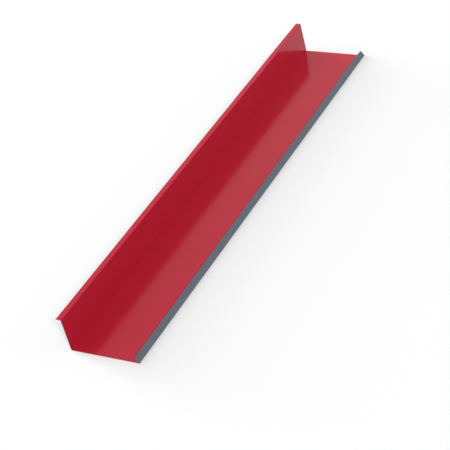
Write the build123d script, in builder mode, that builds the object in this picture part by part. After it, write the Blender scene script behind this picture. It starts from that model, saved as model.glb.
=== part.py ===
from build123d import *
import os
from math import cos, radians, sin, tan

# A wall abutment flashing: one painted steel sheet folded along four straight lines.
# The apron lies flat on z = 0, the upstand rises along its wall side at -X, and the
# length runs along Y. The origin is the middle of the apron's underside.

# Driving sizes in millimetres, and angles in degrees
LENGTH = 2000.0  # end to end
SHEET = 0.5  # steel with both coats of paint
BEND_RADIUS = 1.0  # inside of every fold
APRON_WIDTH = 270.0  # heel to the nose of the front fold
UPSTAND_HEIGHT = 130.0  # up the wall face, heel to lip
UPSTAND_ANGLE = 93.0  # between the apron and the upstand
LIP_WIDTH = 20.0  # top edge turned out towards the wall
LIP_RISE = 3.0  # slope of the lip, up towards the wall
WELT_WIDTH = 26.0  # front edge folded back over the apron
WELT_FOLD = 128.0  # turn of the front fold from flat

# The underside runs round the outside of the heel and of the front fold.
outside_radius = BEND_RADIUS + SHEET
welt_mouth = 180.0 - WELT_FOLD

# The rounded nose of the front fold stops short of where its two flat faces would meet.
nose_setback = outside_radius * (1.0 / tan(radians(welt_mouth / 2.0)) - 1.0)


def leg_end(start, angle, reach):
    """End point of a straight leg of the section, from its start, direction and reach."""
    return (start[0] + reach * cos(radians(angle)), start[1] + reach * sin(radians(angle)))


# Corners of the section's wall and roof side, where its flat faces would meet
heel = (-APRON_WIDTH / 2.0, 0.0)
front_fold = leg_end(heel, 0.0, APRON_WIDTH + nose_setback)
welt_edge = leg_end(front_fold, WELT_FOLD, WELT_WIDTH + nose_setback)
lip_fold = leg_end(heel, UPSTAND_ANGLE, UPSTAND_HEIGHT)
lip_edge = leg_end(lip_fold, 180.0 - LIP_RISE, LIP_WIDTH)

# Folded sheet
with BuildPart() as flashing_sheet:
    with BuildSketch(Plane.XZ):
        with BuildLine():
            FilletPolyline(
                lip_edge,
                lip_fold,
                heel,
                front_fold,
                welt_edge,
                radius=[BEND_RADIUS, outside_radius, outside_radius],
            )
            offset(amount=SHEET, side=Side.RIGHT)
        make_face()
    extrude(amount=LENGTH / 2.0, both=True)

flashing_sheet.part.label = "flashing_sheet"
os.makedirs("parts", exist_ok=True)
export_step(flashing_sheet.part, "parts/flashing_sheet.step")
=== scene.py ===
"""A wall abutment flashing: its folded painted sheet, a pale studio floor, soft light and the camera."""

import logging
import math
from collections.abc import Mapping
from dataclasses import dataclass
from enum import IntEnum

import bmesh
import bpy
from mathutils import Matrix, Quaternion, Vector, noise


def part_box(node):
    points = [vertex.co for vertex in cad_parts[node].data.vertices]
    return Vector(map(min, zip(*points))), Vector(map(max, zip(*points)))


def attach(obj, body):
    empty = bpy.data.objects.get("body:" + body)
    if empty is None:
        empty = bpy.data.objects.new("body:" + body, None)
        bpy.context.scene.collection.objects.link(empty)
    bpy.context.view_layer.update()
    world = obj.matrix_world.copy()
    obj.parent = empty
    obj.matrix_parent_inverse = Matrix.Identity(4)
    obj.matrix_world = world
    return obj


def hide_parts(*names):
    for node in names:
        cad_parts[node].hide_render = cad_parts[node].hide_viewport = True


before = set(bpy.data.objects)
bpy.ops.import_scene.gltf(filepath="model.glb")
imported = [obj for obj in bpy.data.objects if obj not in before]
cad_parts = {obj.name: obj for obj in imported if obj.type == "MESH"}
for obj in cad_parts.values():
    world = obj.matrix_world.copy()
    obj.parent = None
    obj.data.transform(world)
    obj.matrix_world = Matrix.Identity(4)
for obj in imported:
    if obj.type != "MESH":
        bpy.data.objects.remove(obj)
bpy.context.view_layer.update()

log = logging.getLogger("flashing")

BODY = "root"
CREASE_LAYER = "crease"
SLACK_LAYER = "slack"
WHITE = (1.0, 1.0, 1.0, 1.0)

Colour = tuple[float, float, float]
Repeats = tuple[float, float, float]


class Side(IntEnum):
    """The sheet's material slots, one for each kind of surface."""

    WEATHER = 0
    BACK = 1
    CUT_EDGE = 2


class Signal:
    """An output socket that can be used in sums: each operator adds a Math node."""

    def __init__(self, tree: "NodeTree", socket: bpy.types.NodeSocket) -> None:
        """Wrap a socket of a tree."""
        self.tree = tree
        self.socket = socket

    def _sum(self, operation: str, first: "Signal | float", second: "Signal | float") -> "Signal":
        """Add one Math node.

        Args:
            operation: the node's operation.
            first: left side of the expression.
            second: right side of the expression.

        Returns:
            The result.
        """
        return self.tree.node("ShaderNodeMath", {"operation": operation}, {0: first, 1: second})

    def __add__(self, other: "Signal | float") -> "Signal":
        """Sum."""
        return self._sum("ADD", self, other)

    def __radd__(self, other: float) -> "Signal":
        """Sum, reflected."""
        return self._sum("ADD", other, self)

    def __sub__(self, other: "Signal | float") -> "Signal":
        """Difference."""
        return self._sum("SUBTRACT", self, other)

    def __rsub__(self, other: float) -> "Signal":
        """Difference, reflected."""
        return self._sum("SUBTRACT", other, self)

    def __mul__(self, other: "Signal | float") -> "Signal":
        """Product."""
        return self._sum("MULTIPLY", self, other)

    def __rmul__(self, other: float) -> "Signal":
        """Product, reflected."""
        return self._sum("MULTIPLY", other, self)

    def larger(self, other: "Signal | float") -> "Signal":
        """The larger of two values."""
        return self._sum("MAXIMUM", self, other)


class NodeTree:
    """The nodes of a material or a world, added one at a time."""

    def __init__(self, owner: bpy.types.Material | bpy.types.World) -> None:
        """Start an empty tree.

        Args:
            owner: the material or world that takes it.
        """
        owner.use_nodes = True
        self.tree = owner.node_tree
        self.tree.nodes.clear()

    def _add(
        self, kind: str, settings: Mapping[str, object], inputs: Mapping[str | int, object]
    ) -> bpy.types.Node:
        """Make a node, set it up and link it.

        Args:
            kind: the node's type.
            settings: its own settings, which are set first.
            inputs: values or signals for its sockets.

        Returns:
            The node.
        """
        made = self.tree.nodes.new(kind)
        for name, value in settings.items():
            setattr(made, name, value)
        for key, value in inputs.items():
            if isinstance(value, Signal):
                self.tree.links.new(value.socket, made.inputs[key])
            else:
                made.inputs[key].default_value = value
        return made

    def node(
        self,
        kind: str,
        settings: Mapping[str, object] | None = None,
        inputs: Mapping[str | int, object] | None = None,
        output: str | int = 0,
    ) -> Signal:
        """Add a node of any type.

        Args:
            kind: the node's type.
            settings: its own settings.
            inputs: values or signals for its sockets, by name or number.
            output: the socket that is wanted from it.

        Returns:
            That output.
        """
        return Signal(self, self._add(kind, settings or {}, inputs or {}).outputs[output])

    def end(self, kind: str, shader: Signal) -> None:
        """Add the output node that takes the finished shader."""
        self._add(kind, {}, {"Surface": shader})

    def pattern(self, repeats: Repeats, detail: float) -> Signal:
        """Noise that stays on the piece.

        Args:
            repeats: in a metre along X, Y and Z.
            detail: octaves of finer noise.

        Returns:
            The noise, from 0 to 1.
        """
        place = self.node("ShaderNodeTexCoord", output="Object")
        scaled = self.node("ShaderNodeMapping", None, {"Vector": place, "Scale": repeats})
        return self.node("ShaderNodeTexNoise", None, {"Vector": scaled, "Scale": 1.0, "Detail": detail})

    def tint(self, colour: Colour, level: Signal) -> Signal:
        """Scale a colour.

        Args:
            colour: linear colour.
            level: 1 leaves it as it is.

        Returns:
            The lighter or darker colour.
        """
        return self.node("ShaderNodeVectorMath", {"operation": "SCALE"}, {0: colour, "Scale": level})

    def relief(self, height: Signal, depth: float) -> Signal:
        """Normals of a fine relief.

        Args:
            height: the relief, from 0 to 1.
            depth: what 1 stands for, in metres.

        Returns:
            The normal.
        """
        sockets = {"Height": height, "Strength": 1.0, "Distance": depth}
        return self.node("ShaderNodeBump", None, sockets, "Normal")

    def seen(self) -> Signal:
        """Tell the rays that see a surface from those that only carry its light.

        Returns:
            1 for rays from the camera and for mirrored and refracted ones, otherwise 0.
        """
        camera, glossy, through = (
            self.node("ShaderNodeLightPath", output=ray)
            for ray in ("Is Camera Ray", "Is Glossy Ray", "Is Transmission Ray")
        )
        return camera.larger(glossy).larger(through)


@dataclass(frozen=True)
class Finish:
    """A finish of the sheet, a little uneven in tone and gloss."""

    name: str
    colour: Colour
    drift: float
    roughness: float
    gloss_drift: float

    def sockets(self, tree: NodeTree) -> dict[str, object]:
        """Work out the principled shader's inputs.

        Args:
            tree: takes the nodes.

        Returns:
            Values and signals by socket name.
        """
        raise NotImplementedError

    def material(self) -> bpy.types.Material:
        """Make the finish.

        Returns:
            Its material.
        """
        made = bpy.data.materials.new(self.name)
        tree = NodeTree(made)
        shader = tree.node("ShaderNodeBsdfPrincipled", None, self.sockets(tree))
        tree.end("ShaderNodeOutputMaterial", shader)
        return made


@dataclass(frozen=True)
class WeatherCoat(Finish):
    """Glossy red paint of the weather side, rolled on along the coil, with painted shade darkening it in
    the creases, where it is also duller.
    """

    name: str = "red_weather_coat"
    colour: Colour = (0.44, 0.0115, 0.030)
    drift: float = 0.05
    roughness: float = 0.16
    gloss_drift: float = 0.03
    specular: float = 0.235
    # painted shade: how much the crease mask darkens the base colour
    crease_painted_shade: float = 0.12
    crease_dulling: float = 0.7
    cloud_repeats: Repeats = (3.0, 2.0, 3.0)
    roller_repeats: Repeats = (240.0, 1.6, 240.0)
    peel_repeats: Repeats = (380.0, 300.0, 380.0)
    peel_depth: float = 0.000001

    def sockets(self, tree: NodeTree) -> dict[str, object]:
        """Cloud and streak the paint, darken it with painted shade in the creases, and dull it there.

        Args:
            tree: takes the nodes.

        Returns:
            Values and signals by socket name.
        """
        cloud = tree.pattern(self.cloud_repeats, detail=3.0)
        roller = tree.pattern(self.roller_repeats, detail=2.0)
        peel = tree.pattern(self.peel_repeats, detail=1.0)
        crease = tree.node("ShaderNodeAttribute", {"attribute_name": CREASE_LAYER}, None, "Fac")
        # random tone from cloud and roller, minus painted shade that darkens the base colour in the creases
        level = 1.0 + self.drift * (cloud + roller - 1.0) - self.crease_painted_shade * crease
        return {
            "Base Color": tree.tint(self.colour, level),
            "Roughness": self.roughness + self.gloss_drift * (roller - 0.5) + self.crease_dulling * crease,
            "Specular IOR Level": self.specular,
            "Normal": tree.relief(peel, self.peel_depth),
        }


@dataclass(frozen=True)
class BackCoat(Finish):
    """Thin blue-grey coat of the back, duller than the paint."""

    name: str = "grey_back_coat"
    colour: Colour = (0.100, 0.120, 0.150)
    drift: float = 0.12
    roughness: float = 0.42
    gloss_drift: float = 0.10
    specular: float = 0.35
    cloud_repeats: Repeats = (22.0, 9.0, 22.0)
    roller_repeats: Repeats = (420.0, 3.0, 420.0)
    grain_repeats: Repeats = (900.0, 700.0, 900.0)
    grain_depth: float = 0.000003

    def sockets(self, tree: NodeTree) -> dict[str, object]:
        """Mottle and streak the coat.

        Args:
            tree: takes the nodes.

        Returns:
            Values and signals by socket name.
        """
        cloud = tree.pattern(self.cloud_repeats, detail=4.0)
        roller = tree.pattern(self.roller_repeats, detail=2.0)
        grain = tree.pattern(self.grain_repeats, detail=2.0)
        return {
            "Base Color": tree.tint(self.colour, 1.0 + self.drift * (cloud + roller - 1.0)),
            "Roughness": self.roughness + self.gloss_drift * (roller - 0.5),
            "Specular IOR Level": self.specular,
            "Normal": tree.relief(grain, self.grain_depth),
        }


@dataclass(frozen=True)
class CutEdge(Finish):
    """Sheared steel and zinc, bare at both ends and along both long edges."""

    name: str = "sheared_edge"
    colour: Colour = (0.36, 0.365, 0.375)
    drift: float = 0.5
    roughness: float = 0.40
    gloss_drift: float = 0.2
    metallic: float = 0.9
    shear_repeats: Repeats = (900.0, 900.0, 900.0)

    def sockets(self, tree: NodeTree) -> dict[str, object]:
        """Break up the bare metal.

        Args:
            tree: takes the nodes.

        Returns:
            Values and signals by socket name.
        """
        shear = tree.pattern(self.shear_repeats, detail=3.0)
        return {
            "Base Color": tree.tint(self.colour, 1.0 + self.drift * (shear - 0.5)),
            "Metallic": self.metallic,
            "Roughness": self.roughness + self.gloss_drift * (shear - 0.5),
        }


class SectionWalk:
    """A section drawn the way a sheet is folded: straight legs and bends, one after the other."""

    def __init__(self, shape: bmesh.types.BMesh, start: Vector, heading: float) -> None:
        """Begin a section.

        Args:
            shape: takes its vertices and edges.
            start: the first point.
            heading: of the first leg in the XZ plane, from +X towards +Z.
        """
        self.shape = shape
        self.heading = heading
        self.crease = shape.verts.layers.float.new(CREASE_LAYER)
        self.slack = shape.verts.layers.float.new(SLACK_LAYER)
        self.tip = shape.verts.new(start)

    def _direction(self, quarters: float = 0.0) -> Vector:
        """The heading as a unit vector, turned left by some quarter turns."""
        angle = self.heading + quarters * math.pi / 2.0
        return Vector((math.cos(angle), 0.0, math.sin(angle)))

    def straight(self, reach: float, columns: int, holding: float, slack: float = 0.0) -> None:
        """Add a flat leg.

        Args:
            reach: its length.
            columns: even divisions of its middle.
            holding: width of the divisions at both ends, which keep the shading of the bends off the flat.
            slack: how freely the middle of the leg may wave, from 0 to 1.
        """
        walked = 0.0
        for step in (holding, *[(reach - 2.0 * holding) / columns] * columns, holding):
            self.tip = bmesh.ops.extrude_vert_indiv(self.shape, verts=[self.tip])["verts"][0]
            bmesh.ops.translate(self.shape, verts=[self.tip], vec=step * self._direction())
            walked += step
            self.tip[self.slack] = slack * math.sin(math.pi * walked / reach)

    def bend(self, radius: float, turn: float, segments: int) -> None:
        """Add a round bend, which is a crease of the weather side if it turns left.

        Args:
            radius: of the face that is drawn.
            turn: angle of the bend, positive to the left.
            segments: divisions of the arc.
        """
        side = math.copysign(1.0, turn)
        centre = self.tip.co + radius * self._direction(side)
        flat = set(self.shape.verts)
        made = bmesh.ops.spin(
            self.shape, geom=[self.tip], cent=centre, axis=(0.0, -1.0, 0.0), angle=turn, steps=segments
        )
        self.tip = next(part for part in made["geom_last"] if isinstance(part, bmesh.types.BMVert))
        for vert in set(self.shape.verts) - flat - {self.tip}:
            vert[self.crease] = max(side, 0.0)
        self.heading += turn


@dataclass
class FoldedSheet:
    """The whole flashing: one sheet with a lip, an upstand, an apron and a welted front edge."""

    node: str = "flashing_sheet"
    name: str = "folded_sheet"
    slot: str = "painted_sheet"
    thickness: float = 0.0005
    inside_radius: float = 0.001
    upstand_height: float = 0.130
    upstand_angle: float = math.radians(93.0)
    lip_width: float = 0.020
    lip_rise: float = math.radians(3.0)
    welt_width: float = 0.026
    welt_fold: float = math.radians(128.0)
    lip_columns: int = 3
    upstand_columns: int = 12
    apron_columns: int = 24
    welt_columns: int = 4
    bend_segments: int = 10
    holding: float = 0.0015
    rows: int = 120
    wave_depth: float = 0.0002
    wave_repeats: Repeats = (5.0, 2.4, 9.0)
    sharp_angle: float = math.radians(30.0)

    def _section(self, shape: bmesh.types.BMesh) -> None:
        """Draw the back face's section at the near end, from the lip's edge to the welt's.

        Args:
            shape: takes the section's edges.
        """
        low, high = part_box(self.node)
        outside_radius = self.inside_radius + self.thickness
        heel_turn = math.pi - self.upstand_angle
        lip_turn = heel_turn - self.lip_rise
        lip_setback = self.inside_radius * math.tan(lip_turn / 2.0)
        heel_setback = outside_radius * math.tan(heel_turn / 2.0)
        welt_setback = outside_radius * math.tan(self.welt_fold / 2.0)
        nose = welt_setback - outside_radius
        upstand = Vector((math.cos(self.upstand_angle), 0.0, math.sin(self.upstand_angle)))
        lip = Vector((-math.cos(self.lip_rise), 0.0, math.sin(self.lip_rise)))
        start = Vector((-high.x, low.y, 0.0)) + self.upstand_height * upstand + self.lip_width * lip
        walk = SectionWalk(shape, start, -self.lip_rise)
        walk.straight(self.lip_width - lip_setback, self.lip_columns, self.holding)
        walk.bend(self.inside_radius, -lip_turn, self.bend_segments)
        upright = self.upstand_height - lip_setback - heel_setback
        walk.straight(upright, self.upstand_columns, self.holding, slack=1.0)
        walk.bend(outside_radius, heel_turn, self.bend_segments)
        flat = 2.0 * high.x + nose - heel_setback - welt_setback
        walk.straight(flat, self.apron_columns, self.holding, slack=1.0)
        walk.bend(outside_radius, self.welt_fold, self.bend_segments)
        walk.straight(self.welt_width + nose - welt_setback, self.welt_columns, self.holding)

    def _draw_out(self, shape: bmesh.types.BMesh) -> None:
        """Pull the section along the length, row by row.

        Args:
            shape: the section.
        """
        low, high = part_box(self.node)
        step = Vector((0.0, (high.y - low.y) / self.rows, 0.0))
        end = shape.edges[:]
        for _ in range(self.rows):
            pulled = bmesh.ops.extrude_edge_only(shape, edges=end)["geom"]
            end = [part for part in pulled if isinstance(part, bmesh.types.BMEdge)]
            verts = [part for part in pulled if isinstance(part, bmesh.types.BMVert)]
            bmesh.ops.translate(shape, verts=verts, vec=step)

    def _wave(self, shape: bmesh.types.BMesh) -> None:
        """Give the wide legs the faint waves of thin sheet, towards the weather side and none at the folds.

        Args:
            shape: the back face, with its normals towards the back.
        """
        slack = shape.verts.layers.float[SLACK_LAYER]
        shape.normal_update()
        for vert in shape.verts:
            place = Vector(along * repeat for along, repeat in zip(vert.co, self.wave_repeats))
            swell = 0.5 + 0.5 * noise.noise(place)
            vert.co -= self.wave_depth * vert[slack] * swell * vert.normal
        shape.verts.layers.float.remove(slack)

    def _thicken(self, shape: bmesh.types.BMesh) -> None:
        """Give the sheet its thickness and each face its side.

        Args:
            shape: the back face, which becomes a closed sheet.
        """
        back = shape.faces[:]
        made = bmesh.ops.solidify(shape, geom=back, thickness=self.thickness)["geom"]
        weather = [part for part in made if isinstance(part, bmesh.types.BMFace)]
        for face in shape.faces:
            face.smooth = True
            face.material_index = Side.CUT_EDGE
        for side, faces in ((Side.WEATHER, weather), (Side.BACK, back)):
            for face in faces:
                face.material_index = side

    def build(self) -> bpy.types.Object:
        """Fold the sheet in place of its CAD node.

        Returns:
            The bare piece.
        """
        shape = bmesh.new()
        self._section(shape)
        self._draw_out(shape)
        self._wave(shape)
        self._thicken(shape)
        mesh = bpy.data.meshes.new(self.name)
        shape.to_mesh(mesh)
        shape.free()
        mesh.set_sharp_from_angle(angle=self.sharp_angle)
        piece = bpy.data.objects.new(self.name, mesh)
        bpy.context.scene.collection.objects.link(piece)
        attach(piece, BODY)
        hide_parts(self.node)
        return piece

    def dress(self, piece: bpy.types.Object) -> None:
        """Put a finish on each side.

        Args:
            piece: the bare piece.
        """
        finishes = {Side.WEATHER: WeatherCoat(), Side.BACK: BackCoat(), Side.CUT_EDGE: CutEdge()}
        for side in Side:
            piece.data.materials.append(finishes[side].material())


def towards(azimuth: float, elevation: float) -> Vector:
    """Direction from the flashing to a lamp or the camera.

    Args:
        azimuth: degrees, 0 on the -Y side and 90 on the +X side.
        elevation: degrees above the floor.

    Returns:
        A unit vector.
    """
    turn, rise = math.radians(azimuth), math.radians(elevation)
    flat = math.cos(rise)
    return Vector((math.sin(turn) * flat, -math.cos(turn) * flat, math.sin(rise)))


@dataclass(frozen=True)
class Lamp:
    """A large soft lamp, far enough away to light the whole length alike."""

    name: str
    azimuth: float
    elevation: float
    level: float
    spread: float

    def build(self) -> bpy.types.Object:
        """Hang the lamp, out of sight of the glossy paint.

        Returns:
            The lamp, turned towards the flashing.
        """
        data = bpy.data.lights.new(self.name, "SUN")
        data.energy = self.level * math.pi
        data.angle = math.radians(self.spread)
        lamp = bpy.data.objects.new(self.name, data)
        lamp.rotation_mode = "QUATERNION"
        lamp.rotation_quaternion = towards(self.azimuth, self.elevation).to_track_quat("Z", "Y")
        lamp.visible_glossy = False
        bpy.context.scene.collection.objects.link(lamp)
        return lamp


@dataclass(frozen=True)
class Studio:
    """A white floor that runs out of sight, white walls, a greyer ceiling and soft lamps."""

    sky: float = 0.44
    ceiling: float = 0.4
    wall_top: float = 0.5
    floor_radius: float = 60.0
    floor_segments: int = 64
    floor_drop: float = 0.0002
    floor_white: float = 0.776
    floor_bounce: float = 0.4
    lamps: tuple[Lamp, ...] = (
        Lamp("fill", azimuth=44.0, elevation=38.0, level=0.69, spread=14.0),
        Lamp("key", azimuth=270.0, elevation=38.0, level=0.42, spread=50.0),
        Lamp("low", azimuth=258.0, elevation=13.0, level=0.75, spread=24.0),
    )

    def _sky(self) -> None:
        """Even light from all round, where the white walls and the ceiling show if seen or mirrored."""
        world = bpy.data.worlds.new("studio_sky")
        bpy.context.scene.world = world
        tree = NodeTree(world)
        way = tree.node("ShaderNodeTexCoord", output="Generated")
        height = tree.node("ShaderNodeSeparateXYZ", None, {"Vector": way}, "Z")
        heights = {"Value": height, "From Min": self.wall_top, "From Max": 1.0}
        levels = {"To Min": 1.0, "To Max": self.ceiling}
        shown = tree.node("ShaderNodeMapRange", None, heights | levels)
        level = self.sky + (shown - self.sky) * tree.seen()
        sky = tree.node("ShaderNodeBackground", None, {"Color": WHITE, "Strength": level})
        tree.end("ShaderNodeOutputWorld", sky)

    def _paper(self) -> bpy.types.Material:
        """Matt paper, white where it is seen or mirrored, which throws back less light than that.

        Returns:
            Its material.
        """
        made = bpy.data.materials.new("floor_paper")
        tree = NodeTree(made)
        level = self.floor_bounce + (self.floor_white - self.floor_bounce) * tree.seen()
        tree.end("ShaderNodeOutputMaterial", tree.node("ShaderNodeBsdfDiffuse", None, {"Color": level}))
        return made

    def _floor(self) -> bpy.types.Object:
        """Lay the floor.

        Returns:
            The floor, which isn't part of the object.
        """
        shape = bmesh.new()
        bmesh.ops.create_circle(
            shape, cap_ends=True, segments=self.floor_segments, radius=self.floor_radius
        )
        bmesh.ops.translate(shape, verts=shape.verts, vec=(0.0, 0.0, -self.floor_drop))
        mesh = bpy.data.meshes.new("floor")
        shape.to_mesh(mesh)
        shape.free()
        mesh.materials.append(self._paper())
        floor = bpy.data.objects.new("floor", mesh)
        bpy.context.scene.collection.objects.link(floor)
        return floor

    def build(self) -> None:
        """Set up the floor, the sky and the lamps."""
        bpy.context.scene.view_settings.view_transform = "Standard"
        self._sky()
        log.info("%s: radius %.0f m", self._floor().name, self.floor_radius)
        for lamp in self.lamps:
            log.info("lamp %s: level %.2f", lamp.build().name, lamp.level)


@dataclass(frozen=True)
class PhotoView:
    """The photograph's camera, fitted to the corners of both ends of the flashing."""

    azimuth: float = 33.539
    elevation: float = 34.929
    roll: float = 12.641
    distance: float = 5.508
    lens: float = 120.0
    sensor: float = 36.0
    aim: tuple[float, float, float] = (0.0755, -0.2315, 0.0)

    def build(self) -> bpy.types.Object:
        """Place the camera and make it the scene's own.

        Returns:
            The camera.
        """
        data = bpy.data.cameras.new("photo_view")
        data.lens = self.lens
        data.sensor_width = self.sensor
        camera = bpy.data.objects.new("photo_view", data)
        back = towards(self.azimuth, self.elevation)
        camera.location = Vector(self.aim) + self.distance * back
        level = (-back).to_track_quat("-Z", "Y")
        camera.rotation_mode = "QUATERNION"
        camera.rotation_quaternion = level @ Quaternion((0.0, 0.0, 1.0), -math.radians(self.roll))
        bpy.context.scene.collection.objects.link(camera)
        bpy.context.scene.camera = camera
        return camera


def main() -> None:
    """Build the flashing, its studio and its camera."""
    logging.basicConfig(level=logging.INFO, format="%(message)s")
    sheet = FoldedSheet()
    piece = sheet.build()
    sheet.dress(piece)
    log.info("piece %s: %d faces", piece.name, len(piece.data.polygons))
    Studio().build()
    log.info("camera %s", PhotoView().build().name)


if __name__ == "__main__":
    main()
